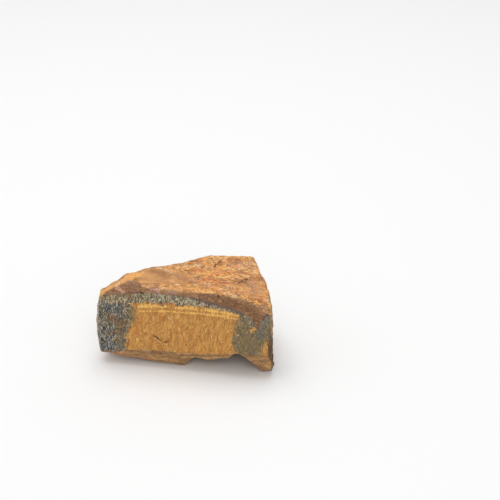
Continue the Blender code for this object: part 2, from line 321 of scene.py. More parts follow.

# %% [markdown]
# ## Stains, cracks and stripes
#
# Iron stains, cracks, chips and pale splinters are what makes this chunk itself, and a few kinds of stroke
# are painted shade, painted highlights and painted rim light. Each is a short stroke drawn on the crown
# (along X and Y) or on the front (along X and Z), in millimetres. A stroke is half its width, its strength,
# and then the points of its line. All the strokes of one kind become one mask, and the strokes are bent by
# the same noise on the way.

# %% Draw the stains
FRONT, TOP = "front", "top"
STAINS = {
    "cream": {
        TOP: [
            # The first two strokes, at the crown's left-hand end, are pale splinters and painted highlights
            # together.
            (2.4, 0.3, (-35, -17.5), (-29.8, -16.6), (-26.5, -13.6), (-23.8, -10), (-22.4, -7.4)),
            (0.7, 0.65, (-29.2, -17.4), (-27.6, -14.6)), (0.3, 0.8, (-15.5, -2.4), (-13.4, -2.4)),
            (0.7, 0.42, (-13.4, -2.4), (-8.6, -4.9), (-9.6, -6.9)),
            (1.1, 0.4, (-9, -0.4), (-3.9, 0.6), (1.7, 2.2)), (0.4, 0.9, (-4.6, 0), (-3.3, 0.4)),
            (0.7, 0.6, (-4.2, -14.4), (-2.6, -14.8)), (0.35, 0.9, (7.4, -11.1), (7.8, -10.7)),
            (0.25, 0.35, (-17.3, -17.6), (-14, -17.3), (-9.8, -18), (-6.1, -18.3), (-2.2, -18)),
            (0.6, 0.42, (16.8, -17.3), (20.4, -17), (24, -17.4)), (0.35, 0.9, (16.1, 2.9)),
            (0.5, 0.4, (21, 6.6), (22.4, 6.2)), (0.25, 0.9, (19.7, -7.7), (20.1, -7.5)),
            (0.12, 0.7, (27.8, -18.3), (28.6, -18.2)), (0.2, 0.8, (11.1, -19.5)),
            (3, 0.22, (4, -6), (14, 4)),
        ],
        FRONT: [
            (0.2, 0.9, (-19.5, 12.2), (-19.1, 12.8)), (0.22, 0.8, (22.7, 19.1), (23.9, 19)),
            (0.25, 0.9, (19.6, 25.4)), (0.25, 0.8, (-22.9, 28.2), (-22.2, 28.3)),
            (0.2, 0.9, (-28.1, 28.2), (-27.5, 28.8)), (0.25, 0.7, (-18.1, 27.5), (-17.2, 27.4)),
            # The next two strokes are a painted highlight along the rim of a chip in the gold.
            (0.2, 1, (-10.4, 12.9), (-9.5, 12.5)), (0.14, 0.8, (-8.6, 11.8), (-7.5, 11.6), (-6.2, 11.8)),
            (0.16, 0.36, (-11, 25.2), (-11.1, 21.4), (-14.2, 18.9), (-14.8, 16.5)),
            (0.18, 0.42, (-5.2, 26.1), (-5.4, 20.1), (-5.6, 14.8)),
            (0.14, 0.3, (-2.3, 25.5), (-4.2, 21.6), (-3.9, 18.6)),
            (0.2, 0.6, (25.6, 27), (27.4, 26.2), (28.6, 25.1), (28.2, 24.1)),
        ],
    },
    "dark": {
        TOP: [
            (0.2, 0.8, (-18.4, -16.7), (-17.2, -16.1), (-13.5, -15.5), (-10.8, -14.9)),
            (0.16, 0.4, (-10.8, -14.9), (-10.6, -12.4), (-8.3, -10.3)),
            (0.2, 0.75, (-18.7, -16.4), (-18.1, -19), (-17.7, -20.6)), (0.2, 1, (0.8, -11.2), (4.7, -11.3)),
            (0.2, 0.9, (7.8, -10.6), (9.9, -10)), (0.22, 0.6, (-7.9, -2.9), (-2.3, -2.1), (1.7, -2.2)),
            (0.15, 0.85, (8.1, 2.1), (8.2, 6.1), (9.3, 8.4), (10.3, 8.5)), (0.4, 0.8, (5.3, 9.5)),
            (0.2, 0.75, (20.5, -7.6), (21.4, -5.4), (22.6, -3.2)), (0.3, 1, (23.2, -3.2), (23.6, -2.8)),
            (0.2, 0.8, (24.4, -2), (25.3, -1.2)), (0.4, 0.7, (9.3, -18.2), (12.4, -18.4)),
            (0.35, 0.9, (14.4, -18.8), (15.2, -18.8)), (0.3, 0.5, (5.2, -11.9), (7.1, -12.3)),
        ],
        FRONT: [
            (0.4, 0.8, (-17.4, 33.3), (-15.6, 33.4)), (0.25, 0.5, (-17.1, 20.3), (-16.5, 20.3)),
            (0.25, 0.5, (-15, 20.4), (-14.4, 20.5)), (0.3, 0.5, (-16.2, 14.9), (-15.4, 14.7)),
            (0.3, 0.7, (-8.5, 28.8), (-8.2, 28.4)), (0.3, 0.7, (-12, 14.7), (-10.4, 13.8)),
            (0.16, 0.75, (-10.3, 13.6), (-8.6, 12.5), (-7.2, 12.2), (-5.3, 13.4)),
            (0.35, 1, (-0.6, 6.6), (-0.2, 6.3)),
        ],
    },
    "umber": {
        TOP: [
            # The first two strokes are painted shade on the shadowed faces of the notch and of a small ledge.
            (0.6, 0.55, (21, -6.9), (22.8, -4.4)), (0.45, 0.45, (8.5, 2.8), (8.8, 4.6)),
            (1.2, 0.42, (24, -16.8), (29, -15.4), (33, -16)),
            (0.5, 0.4, (-16, -17.2), (-11, -16.6), (-6, -17)),
            (0.7, 0.45, (-27, -15.8), (-22.4, -12.4), (-20, -14)),
        ],
        FRONT: [
            (1.7, 0.62, (8, 33.6), (20, 31.9), (28, 29.5), (31, 26)), (0.9, 0.7, (31.6, 25), (31.7, 22.6)),
            (1.3, 0.45, (32, 28.6), (38, 30.4)), (0.6, 0.45, (-33, 32.4), (-26, 32.6), (-19, 33.6)),
            (0.5, 0.24, (-14, 21.6), (-2, 21.2), (12, 21.5)), (0.6, 0.2, (-20, 14.3), (-6, 14.6)),
        ],
    },
    "slate": {
        TOP: [(0.5, 0.5, (9.3, -18.6), (13, -18.8))],
        FRONT: [
            (0.35, 0.5, (-22, 33.1), (-18.4, 33.5)),
            (0.75, 0.7, (3.8, 33.3), (8.4, 32.3), (14.4, 31.2), (19.3, 29.8), (22.8, 28.6), (25.1, 27.6)),
            (0.35, 0.6, (25.1, 27.6), (28.4, 26.6), (30.4, 25)),
            (0.6, 0.7, (33.4, 26.8), (35.4, 28.6), (37, 30.2)),
        ],
    },
    # shade is painted shade: soft dark washes on the dish's far rim, above the notch, under the brow, along
    # the sill and the foot, and down the right-hand end
    "shade": {
        TOP: [
            (2, 0.75, (-17, -3.6), (-13.6, -4.2), (-10.8, -6.4)),
            (2.4, 0.5, (-10.8, -6.4), (-9.4, -9.6), (-10.2, -13)), (2, 0.35, (-3, -10), (3, -12.4)),
            (0.8, 0.6, (-18.4, -16.9), (-10.2, -15.4), (-4, -16)),
            (1.6, 0.4, (14, -8), (19, -6.6), (22, -3.4)),
        ],
        FRONT: [
            (1.6, 0.5, (-30, 33.8), (-24, 34.8), (-20, 34.6)),
            (0.7, 0.8, (-33, 31.6), (-24, 32.4), (-18, 33.6)), (2, 0.8, (-30, 20.5), (-25, 18.6)),
            (1.3, 0.7, (-26, 31.2), (-22, 31)), (1.8, 0.45, (-34.4, 29.6), (-27, 29.4)),
            (0.5, 0.9, (-24, 6.2), (2.5, 7.2), (20, 9)), (0.8, 0.9, (24, 9.8), (37, 9.8)),
            (0.5, 0.7, (29, 6.5), (37, 6.5)), (0.8, 0.9, (36.6, 17), (36.8, 9)),
            (0.5, 0.6, (-20, 5.2), (-4, 5)),
        ],
    },
    "rose": {
        TOP: [
            # The second and third strokes are painted highlights on two shiny facets of the bevel.
            (0.5, 0.9, (-28.2, -19.1), (-26.4, -19.6)), (0.6, 0.55, (-13.4, -18.9), (-9.8, -19.2)),
            (0.45, 0.5, (-6.6, -19.3), (-4.4, -19.4)), (0.9, 0.6, (-31.6, -16.6), (-28, -14.2)),
            (1.6, 0.42, (2, -9), (10, -13)), (1.6, 0.45, (26, -4), (29, -9)), (2, 0.4, (16, 6), (22, 9)),
        ],
        FRONT: [(0.7, 0.9, (-28, 34.3), (-25.2, 32.9))],
    },
    "mauve": {
        TOP: [
            (1.1, 0.55, (-8.1, -6.9), (-5, -7.8), (-2.7, -8.6)),
            (1.2, 0.6, (-1.4, -4.6), (3.2, -7), (6.1, -8.1)),
            (0.9, 0.45, (11, -12.5), (16, -12), (20, -13)), (1, 0.45, (16, 9.5), (20, 7), (24, 4)),
            (0.7, 0.7, (23.1, -3.7), (24.7, -7.1)), (1.4, 0.4, (26.5, -8), (29, -12)),
            # These two strokes give a lilac tint to painted highlights on two shiny facets of the bevel.
            (0.8, 0.9, (-13.2, -18.9), (-9.8, -19.3)), (0.5, 0.7, (-6.4, -19.4), (-3.2, -19.5)),
            (0.7, 0.6, (-26.4, -16.8), (-23.6, -14.8)),
        ],
        FRONT: [
            (0.5, 0.5, (-34, 31.8), (-23, 33.2), (-18.6, 34)),
            (0.5, 0.4, (-10, 33.9), (2.5, 34.1), (8.4, 33.6)),
            (0.8, 0.5, (36.4, 29.2), (35.6, 27.4), (34.4, 25.8)),
        ],
    },
    "rust": {
        TOP: [
            (1.2, 0.5, (5, -9.2), (10, -8.2)), (1.1, 0.6, (12.2, -1.6), (10.4, -3.8), (7.8, -5.4)),
            (1.2, 0.45, (12.8, -8.8), (17, -9.8)), (0.35, 0.7, (2.6, -3), (7.4, -2.8)),
            (0.5, 0.6, (-33, -18.4), (-30.6, -18.3)), (0.9, 0.4, (30, -12), (33, -15.5)),
            (1.4, 0.36, (-31, -17.6), (-27, -15.2), (-24.6, -12.4)),
        ],
        FRONT: [
            (0.25, 0.9, (-26.6, 22.4), (-26.5, 21.6)), (0.2, 0.8, (-29.9, 14.8), (-29.6, 13.4)),
            (0.25, 0.9, (-27.9, 15), (-27.9, 14.3)), (0.3, 0.8, (-13.1, 12.5), (-12.7, 11.9)),
            (0.3, 0.8, (-4.2, 13.1)), (0.25, 0.8, (-8.4, 30.1), (-7.9, 29.6)),
            (0.25, 0.9, (-5.6, 30.6), (-5.2, 29.2)), (0.28, 0.9, (-3.9, 29.9), (-3.4, 28.7)),
            (0.2, 0.7, (-4.5, 21.6), (-4.3, 20.3)), (0.2, 0.6, (-9.2, 21.3), (-9.4, 20.3)),
            (0.25, 0.6, (2, 18.7), (2.1, 18)), (0.3, 0.6, (-34, 5), (-28, 4.4), (-22, 3.4), (-14, 2.4)),
        ],
    },
    "golden": {
        TOP: [
            (0.9, 0.8, (10.6, 6.2), (11.6, 4.2), (13.2, 3)), (1.4, 0.5, (13.5, -0.9), (16.8, -3.4)),
            (2.8, 0.42, (1, -5.6), (7, -4), (12, -2.4)),
            (1, 0.45, (-10, -15.4), (-3, -16.6), (3, -15.8), (12, -15.4)),
            (2.4, 0.75, (-34.6, -17.8), (-29, -16.2), (-25.4, -12.6), (-22, -8.4)),
            (1.6, 0.5, (26, -16), (32, -17)), (1, 0.4, (0, -13.6), (9, -12.6)),
        ],
        FRONT: [(0.9, 0.45, (28.2, 20.9), (30.6, 22.4)), (0.7, 0.4, (-21.4, 27.8), (-20.2, 27.7))],
    },
    "olive": {
        FRONT: [
            (1.3, 0.85, (-21.4, 26.4), (-20.6, 24), (-20.9, 20.8)),
            (1, 0.85, (23.2, 25), (22.4, 19), (22.8, 12)), (1.8, 0.5, (-30, 19.6), (-24.4, 18.4)),
            (1.3, 0.6, (-27, 14.5), (-25.5, 9)), (2.6, 0.8, (26, 21), (26.4, 14), (29, 18), (30, 13)),
            (0.8, 0.7, (35.4, 22), (34.4, 17.6), (33.4, 14), (33.2, 10)),
        ],
    },
    "ash": {
        # painted rim light along the rounded left-hand edge of the silk face
        FRONT: [(0.6, 0.7, (-35.6, 29), (-36.5, 22), (-36.8, 15), (-36.6, 9), (-35.9, 5.4))],
    },
    "blue": {
        FRONT: [
            (2.6, 0.7, (-33, 28), (-29.5, 26), (-29, 21)), (3, 0.85, (-33.5, 15), (-31.5, 8.5), (-28.5, 8)),
            (1.6, 0.2, (35, 22), (34, 18.5)),
        ],
    },
}

SURFACES = {FRONT: (front_view, ramp(-faces_back, 0.3, 0.5) * ramp(4 - behind_face, 0, 1)),
            TOP: (top_view, ramp(z, 28, 30) * ramp(faces_up, 0.1, 0.3))}
SOFT = {"shade": 1.0, "olive": 0.9, "blue": 0.8, "ash": 0.8}  # share of the half width that fades out
CRISP = 0.25


def painted(strokes, softness):
    """A mask from 0 to 1 of the strokes, where the surface they are drawn on is."""
    mask = np.zeros(len(points))
    for view, drawn in strokes.items():
        flat, there = SURFACES[view]
        for half_width, strength, *line in drawn:
            pushed = flat + min(0.15 + 0.7 * half_width, 1.0) * ragged
            soft = 0.15 + softness * half_width
            covered = ramp(half_width + soft - distance_to(pushed, line), 0, 2 * soft)
            mask = np.maximum(mask, strength * there * covered)
    return mask


stains = {kind: painted(strokes, SOFT.get(kind, CRISP)) for kind, strokes in STAINS.items()}
for kind, mask in stains.items():
    number = sum(len(drawn) for drawn in STAINS[kind].values())
    print(kind, "has", number, "strokes over", int((mask > 0.3).sum()), "points")

# %% [markdown]
# Three marks follow the stone's form, so they are worked out like the surfaces were: painted rim light on
# the left-hand corner, painted shade, dark brown like bark, low on the right-hand end, and gold along the
# crown's rim on the right.

# %% Paint rim light on the corner and shade on the end, and stain the rim
left_corner = ramp(-faces_right, 0.2, 0.5) * ramp(-faces_back, 0.3, 0.55) * ramp(-30 - x, 0, 4)
right_end = ramp(faces_right, 0.25, 0.6) * ramp(-6 - y, 0, 8) * ramp(25 - z, 0, 11) * ramp(x, 30, 33)
right_rim = ramp(proud, 0.08, 0.3) * ramp(x, 21, 25) * ramp(z, 24, 27) * ramp(faces_up, 0.1, 0.4)
# painted rim light: the left-hand corner is made pale where its rounded edge turns to the side
stains["ash"] = np.maximum(stains["ash"], 0.5 * left_corner * ramp(z, 5, 8) * ramp(32 - z, 0, 2))
# painted shade: the low right-hand end turns away from the lamps, and is darkened here
stains["bark"] = 0.9 * right_end
stains["golden"] = np.maximum(stains["golden"], 0.7 * right_rim)
print("bark covers", int((stains["bark"] > 0.3).sum()), "points")

# %% [markdown]
# The gold panel's upper end is banded: two bright seams lie parallel to its top edge, with a thin dark line
# under each. A seam's brightness falls off with the distance from its line, so one number for each point
# holds them all: above zero for bright and below zero for dark.

# %% Draw the bright seams
SEAM_ONE = [(-18.2, 27.4), (-12.3, 28), (-6, 28.5), (3, 28.6), (11.6, 28.4), (16.7, 28), (23, 27)]
SEAM_TWO = [(-18.2, 25.3), (-12.3, 25.8), (-6, 26.4), (3, 26.5), (11.6, 26.7), (16.7, 26.6), (23, 25.9)]
FRAY = 1.4  # how far the gold panel's border is spread, in millimetres


def seam(flat, line, half_width, lift=0.0):
    """1 on the line and 0 at half a width from it. A lift moves the line up."""
    moved = [(along, up + lift) for along, up in line]
    return ramp(half_width - distance_to(flat, moved), 0, np.maximum(half_width, 0.2))


seam_view = front_view + 0.75 * ragged
swell = 1 + 0.9 * wave(points, (4.0, 4.0, 2.0), 6)
seams = seam(seam_view, SEAM_ONE, 1.15 * swell) + 0.85 * seam(seam_view, SEAM_TWO, 0.6 * swell)
seams -= 0.5 * seam(seam_view, SEAM_TWO, 0.5, 1.0) + 0.8 * seam(seam_view, SEAM_TWO, 0.6, -1.1)
seams *= ramp(1.5 - np.abs(wave(points, (6.0, 6.0, 6.0), 7)) * 2, 0, 1)
gold_depth = depth_inside(front_view + 0.9 * ragged, GOLD)
gold = ramp(np.maximum(gold_depth, depth_inside(front_view + ragged, GOLD_AT_END)), -FRAY, FRAY)
print("gold panel takes", round(100 * float((gold * silk > 0.5).mean())), "% of the skin")

# %% [markdown]
# ## Fine relief
#
# The masks also say how each surface broke. Cracks sink in, the cream strokes stand proud, pale splinters and
# painted highlights alike, and the crown is made of small tilted plates where the crust flaked off. The
# strokes above move the points here, and the grain that repeats all over is left to a Geometry Nodes tree.

# %% Sink the cracks and raise the splinters
CRACK_DEPTH = 0.38
SPLINTER_HEIGHT = 0.14
KEEP_BELOW = (0.3, 2.0)  # the relief fades to nothing between these heights, so the base stays flat

near_ground = ramp(z, *KEEP_BELOW)
thin = stains["cream"] * ramp(1.0 - crown, 0, 1) + 0.5 * stains["cream"] * crown
move = SPLINTER_HEIGHT * thin - CRACK_DEPTH * stains["dark"]
points += normals * (move * near_ground)[:, None]
stone.data.vertices.foreach_set("co", (points * MM).ravel())
print("cracks sink up to", round(float(-move.min()), 2), "mm")

# %% [markdown]
# Four more masks are for the trees below: hackly, where the grey threads were splintered, wall, where the
# break is raw, calm, where the crust did not crumble, and frost, which says how many white slivers lie on
# the grey threads and leaves few at the right-hand end. Every mask is then kept on the skin under its name.

# %% Keep the masks on the skin
CALM = [(-15.0, -9.5, 8.5, 1.0), (-4.0, -13.0, 8.0, 0.7), (-9.0, -5.0, 5.0, 0.5), (27.0, -9.0, 8.0, 0.5),
        (24.0, 5.0, 6.0, 0.3)]  # X, Y, radius and share of the calm places


def store(name, values):
    """Keeps one number for each point of the skin, for the trees below to read."""
    attribute = stone.data.attributes.new(name, "FLOAT", "POINT")
    attribute.data.foreach_set("value", values.astype(np.float32))


grey = silk * (1 - gold)
hackly = np.clip(grey * 0.6 + grey * ramp(3.2 - brow_depth, 0, 1.5), 0, 1)
wall = np.clip(1 - silk - bevel - undercut - crown, 0, 1)
calm = np.zeros(len(points))
for calm_x, calm_y, radius, share in CALM:
    away = np.hypot(x - calm_x + ragged[:, 0], (y - calm_y) * 0.85 + ragged[:, 1])
    calm = np.maximum(calm, share * ramp(radius - away, 0, 3.5))
frost = ramp(25 - x, 0, 4) * 0.82 + 0.18
masks = {
    "silk": silk, "gold": gold, "seams": seams, "bevel": bevel, "undercut": undercut, "crown": crown,
    "brow_depth": np.clip(brow_depth, 0, 20), "hackly": hackly, "wall": wall,
    "calm": calm, "frost": frost, "proud": proud, "above_ground": near_ground, **stains,
}
for name, values in masks.items():
    store(name, values)
print("stored", list(masks))

# %% [markdown]
# ## A short way to write node trees
#
# A node tree is a recipe: noise, stretch it, mix two colours by it. Written out one link at a time, the
# recipe is lost. This small helper adds a node, fills its inputs and gives back its output, so that a tree
# reads like a sum. It serves Geometry Nodes and materials alike, because both have the same noise and maths.

# %% Define the sums
class Sums:
    """Adds nodes to one tree. An input is a number, a colour or the output of a node added before."""

    def __init__(self, tree):
        self.tree = tree

    def fill(self, sockets, values):
        """Links each socket to another node's output, or sets it."""
        for key, value in values.items():
            if isinstance(value, bpy.types.NodeSocket):
                self.tree.links.new(value, sockets[key])
            else:
                sockets[key].default_value = value

    def add(self, kind, inputs=None, out=0, **settings):
        """Adds a node and gives one of its outputs, or all of them if out is None."""
        made = self.tree.nodes.new(kind)
        for name, value in settings.items():
            setattr(made, name, value)
        self.fill(made.inputs, inputs or {})
        return made.outputs if out is None else made.outputs[out]

    def group(self, tree, inputs):
        return self.add("ShaderNodeGroup", inputs, out=None, node_tree=tree)

    def chain(self, operation, total, *others):
        for value in others:
            total = self.add("ShaderNodeMath", {0: total, 1: value}, operation=operation)
        return total

    def times(self, *factors):
        return self.chain("MULTIPLY", *factors)

    def plus(self, *terms):
        return self.chain("ADD", *terms)

    def swing(self, value, width):
        """A value from 0 to 1, moved to swing about 0 by this much in all."""
        return self.times(self.plus(value, -0.5), width)

    def limit(self, value):
        return self.add("ShaderNodeClamp", {"Value": value})

    def ramp(self, value, low, high, start=0.0, end=1.0):
        """start below low, end above high, and smooth between them."""
        limits = {"Value": value, "From Min": low, "From Max": high, "To Min": start, "To Max": end}
        return self.add("ShaderNodeMapRange", limits, interpolation_type="SMOOTHSTEP")

    def vector(self, operation, a, b):
        return self.add("ShaderNodeVectorMath", {0: a, 1: b}, operation=operation)

    def grow(self, vector, factor):
        return self.add("ShaderNodeVectorMath", {0: vector, "Scale": factor}, operation="SCALE")

    def parts(self, vector):
        """The X, Y and Z outputs of a vector."""
        return self.add("ShaderNodeSeparateXYZ", {0: vector}, out=None)

    def joined(self, x, y, z):
        return self.add("ShaderNodeCombineXYZ", {0: x, 1: y, 2: z})


print("the helper's sums:", [name for name in vars(Sums) if not name.startswith("_")])

# %% [markdown]
# The second half of the helper is what this stone needs: tones laid on by a pattern, noise measured in
# millimetres, and the masks that the skin carries. Its colours are written as a screen shows them, red, green
# and blue from 0 to 255, and it turns them into the linear values that nodes take.

# %% Define the recipe
HALF = (0.5, 0.5, 0.5)
SEED_STEPS, CELL_STEPS = (7.1, 3.7, 5.3), (3.3, 1.9, 2.7)  # how far one seed's noise lies from the next


def tone(red, green, blue):
    """A colour given as a screen shows it, in linear values."""
    shares = [part / 255 for part in (red, green, blue)]
    return (*[s / 12.92 if s <= 0.04045 else ((s + 0.055) / 1.055) ** 2.4 for s in shares], 1.0)


class Recipe(Sums):
    """Sums, with this stone's colours, noise and masks."""

    def mix(self, share, a, b):
        a, b = [tone(*c) if isinstance(c, tuple) and len(c) == 3 else c for c in (a, b)]
        return self.add("ShaderNodeMix", {0: share, 6: a, 7: b}, out=2, data_type="RGBA")

    def lay(self, colour, layers, *factors):
        """Lays tones on a colour, one after another. Each layer is a pattern, the values of the pattern where
        there is none of the tone and where there is all of it, its full share, and the tone."""
        for pattern, none_at, all_at, share, laid in layers:
            covered = self.limit(self.times(self.ramp(pattern, none_at, all_at), share, *factors))
            colour = self.mix(covered, colour, laid)
        return colour

    def noise(self, place, size, seed, detail=2.0, roughness=0.5, warp=0.0):
        """Smooth noise from 0 to 1, with lumps of this size in millimetres along X, Y and Z."""
        moved = self.vector("ADD", self.vector("DIVIDE", place, size), [step * seed for step in SEED_STEPS])
        return self.add("ShaderNodeTexNoise", {"Vector": moved, "Scale": 1.0, "Detail": detail,
                                               "Roughness": roughness, "Distortion": warp})

    def bent(self, place, scale, amount, detail=2.0):
        """The place, pushed about by noise."""
        inputs = {"Vector": place, "Scale": scale, "Detail": detail}
        push = self.vector("SUBTRACT", self.add("ShaderNodeTexNoise", inputs, out="Color"), HALF)
        return self.vector("ADD", place, self.grow(push, amount))

    def mask(self, name):
        """A mask that the skin carries."""
        if self.tree.type == "GEOMETRY":
            return self.add("GeometryNodeInputNamedAttribute", {"Name": name}, data_type="FLOAT")
        return self.add("ShaderNodeAttribute", out="Fac", attribute_name=name)

    def place_on_stone(self):
        """Where on the stone this is, in millimetres."""
        in_metres = (self.add("GeometryNodeInputPosition") if self.tree.type == "GEOMETRY"
                     else self.add("ShaderNodeTexCoord", out="Object"))
        return self.grow(in_metres, 1 / MM)


KINDS = {"value": "NodeSocketFloat", "colour": "NodeSocketColor", "place": "NodeSocketVector",
         "mesh": "NodeSocketGeometry", "material": "NodeSocketMaterial", "count": "NodeSocketInt"}


def new_tree(name, kind, inputs, outputs):
    """A new tree's recipe and its two ends. An input is a name, a kind and a default."""
    tree = bpy.data.node_groups.new(name, kind)
    for socket, type_name, default in inputs:
        made = tree.interface.new_socket(socket, in_out="INPUT", socket_type=KINDS[type_name])
        if default is not None:
            made.default_value = default
    for socket, type_name in outputs:
        tree.interface.new_socket(socket, in_out="OUTPUT", socket_type=KINDS[type_name])
    return Recipe(tree), tree.nodes.new("NodeGroupInput").outputs, tree.nodes.new("NodeGroupOutput").inputs


print("the helper's socket kinds:", list(KINDS))

# %% [markdown]
# ## Grain of the break
#
# Four patterns repeat all over the stone. Where the threads are seen from the side they leave shallow
# upright flutes, and where bundles of them tore out they leave long narrow steps. Where the crust flaked off
# it left small plates, each tilted its own way, and there is grit everywhere. All four follow a rule, so
# Geometry Nodes makes them: noise stretched along the threads for the flutes, fine noise for the grit, and
# Voronoi cells for the steps and the plates, where each cell's own random colour gives its tilt. Real relief
# keeps its shadows from every side, which a bump would not.

# %% Build the grain tree
def tilted_cells(make, place, size, seed, bend=1.6):
    """Relief of flat cells between about -1 and 1: each has its own height and its own tilt."""
    sized = make.vector("DIVIDE", make.bent(place, 0.3, bend, detail=1.0), size)
    moved = make.vector("ADD", sized, [step * seed for step in CELL_STEPS])
    cells = make.add("ShaderNodeTexVoronoi", {"Vector": moved, "Scale": 1.0}, out=None)
    tilt = make.vector("SUBTRACT", cells["Color"], HALF)
    arm = make.vector("SUBTRACT", moved, cells["Position"])
    slope = make.add("ShaderNodeVectorMath", {0: arm, 1: tilt}, out="Value", operation="DOT_PRODUCT")
    return make.plus(make.times(slope, 1.8), make.parts(cells["Color"])["Y"], -0.5)


def finished(make, mesh, given, result):
    """Ends a geometry tree: real faces with the finish on them."""
    whole = make.add("GeometryNodeRealizeInstances", {"Geometry": mesh})
    dressed = make.add("GeometryNodeSetMaterial", {"Geometry": whole, "Material": given["Finish"]})
    make.fill(result, {0: dressed})
    return make.tree


def grain_tree():
    inputs = [("Skin", "mesh", None), ("Thread Width", "value", 0.8), ("Thread Length", "value", 5.0),
              ("Thread Depth", "value", 0.1), ("Step Depth", "value", 0.42), ("Plate Depth", "value", 0.3),
              ("Grit Depth", "value", 0.07), ("Finish", "material", None)]
    make, given, result = new_tree("grain_of_the_break", "GeometryNodeTree", inputs, [("Skin", "mesh")])
    place = make.place_on_stone()
    silk, wall, hackly = make.mask("silk"), make.mask("wall"), make.mask("hackly")
    crown, under, calm = make.mask("crown"), make.mask("undercut"), make.mask("calm")

    size = make.joined(given["Thread Width"], given["Thread Width"], given["Thread Length"])
    flutes = make.plus(make.noise(place, size, 1, detail=2.5, roughness=0.6, warp=0.3), -0.5)
    fluted = make.plus(make.times(silk, 0.4), make.times(hackly, 1.6), make.times(wall, 1.4),
                       make.times(under, 0.3))
    threads = make.times(flutes, given["Thread Depth"], fluted, 3.0)

    slabs = tilted_cells(make, place, (3.4, 3.4, 13.0), 4, bend=3.0)
    torn = make.plus(slabs, make.times(tilted_cells(make, place, (1.2, 1.2, 4.2), 5), 0.5))
    steps = make.times(torn, given["Step Depth"], make.plus(wall, make.times(hackly, 0.22)))

    plates = tilted_cells(make, place, (4.2, 2.6, 3.0), 6, bend=4.0)
    small_plates = tilted_cells(make, place, (1.7, 1.0, 1.2), 7, bend=2.0)
    flaky = make.times(crown, make.ramp(calm, 0, 1, 1.0, 0.0))
    flaky = make.times(flaky, make.ramp(make.noise(place, (9, 7, 9), 2), 0.36, 0.6, 0.12, 1.0))
    flakes = make.times(make.plus(plates, make.times(small_plates, 0.45)), given["Plate Depth"], flaky)

    grit = make.plus(make.noise(place, (1.0, 1.0, 1.2), 3, detail=3.0, roughness=0.7), -0.5)
    gritty = make.plus(make.times(crown, make.ramp(calm, 0, 1, 0.6, 0.1)), wall, make.times(hackly, 1.7),
                       make.times(under, 0.6), 0.2)
    move = make.plus(threads, steps, flakes, make.times(grit, given["Grit Depth"], gritty, 3.0))
    height = make.times(move, make.mask("above_ground"), MM)
    along = make.grow(make.add("GeometryNodeInputNormal"), height)
    moved = make.add("GeometryNodeSetPosition", {"Geometry": given["Skin"], "Offset": along})
    kept = make.add("GeometryNodeStoreNamedAttribute", {"Geometry": moved, "Name": "relief", "Value": move},
                    data_type="FLOAT", domain="POINT")
    return finished(make, kept, given, result)


def use_tree(target, tree, **values):
    """Adds the tree as a modifier and sets its named inputs, with underscores for spaces."""
    modifier = target.modifiers.new(tree.name, "NODES")
    modifier.node_group = tree
    sockets = {s.name: s.identifier for s in tree.interface.items_tree if s.in_out == "INPUT"}
    for name, value in values.items():
        modifier[sockets[name.replace("_", " ")]] = value
    make_plain(target)


GRAIN = grain_tree()
print("grain tree has", len(GRAIN.nodes), "nodes")

# %% [markdown]
# ## The shared effects
#
# The stone and its loose splinters are made of the same threads and the same chips, so these effects are
# node groups, built once. Each takes the place on the stone in millimetres and its own sizes, and puts out
# only values. Threads are noise stretched upright, and wander a little from side to side. Chips keep one tint
# right to their edges, which smooth noise never does, and that is what makes a break look hard.

# %% Build the thread and chip groups
def bent_and_leant(make, given, scale, share):
    """The group's place, pushed about by noise and leant along X."""
    moved = make.parts(make.bent(given["Place"], scale, make.times(given["Bend"], share)))
    leant = make.add("ShaderNodeMath", {0: moved["X"], 1: make.times(moved["Z"], given["Lean"])},
                     operation="SUBTRACT")
    return make.joined(leant, moved["Y"], moved["Z"])


def threads_group():
    """Streaks along the threads: 0 for dark ones and 1 for bright ones."""
    inputs = [("Place", "place", None), ("Width", "value", 0.45), ("Length", "value", 2.6),
              ("Lean", "value", 0.12), ("Bend", "value", 1.0), ("Contrast", "value", 0.16),
              ("Seed", "value", 0.0)]
    make, given, result = new_tree("threads", "ShaderNodeTree", inputs, [("Shade", "value")])
    size = make.joined(given["Width"], given["Width"], given["Length"])
    sized = make.vector("DIVIDE", bent_and_leant(make, given, 0.22, 3.0), size)
    moved = make.vector("ADD", sized, make.joined(given["Seed"], 0.0, given["Seed"]))
    streaks = make.add("ShaderNodeTexNoise", {"Vector": moved, "Scale": 1.0, "Detail": 2.0,
                                              "Roughness": 0.6})
    low, high = [make.add("ShaderNodeMath", {0: 0.5, 1: given["Contrast"]}, operation=operation)
                 for operation in ("SUBTRACT", "ADD")]
    shade = make.add("ShaderNodeMapRange", {"Value": streaks, "From Min": low, "From Max": high})
    make.fill(result, {"Shade": shade})
    return make.tree


def chips_group():
    """Small hard-edged chips: two random tints for each, and the dark seams between them."""
    inputs = [("Place", "place", None), ("Size", "place", (1, 1, 1)), ("Lean", "value", 0.0),
              ("Bend", "value", 1.0), ("Seed", "value", 0.0)]
    outputs = [("Tint", "value"), ("Other", "value"), ("Seam", "value")]
    make, given, result = new_tree("chips", "ShaderNodeTree", inputs, outputs)
    sized = make.vector("DIVIDE", bent_and_leant(make, given, 0.6, 2.0), given["Size"])
    moved = make.vector("ADD", sized, make.joined(given["Seed"], given["Seed"], 0.0))
    cells = make.add("ShaderNodeTexVoronoi", {"Vector": moved, "Scale": 1.0}, out="Color")
    edges = make.add("ShaderNodeTexVoronoi", {"Vector": moved, "Scale": 1.0}, feature="DISTANCE_TO_EDGE")
    tints = make.parts(cells)
    seam = make.ramp(edges, 0.0, 0.12, 1.0, 0.0)
    make.fill(result, {"Tint": tints["X"], "Other": tints["Y"], "Seam": seam})
    return make.tree


THREADS, CHIPS = threads_group(), chips_group()
FINISH = [("Colour", "colour"), ("Roughness", "value"), ("Height", "value")]


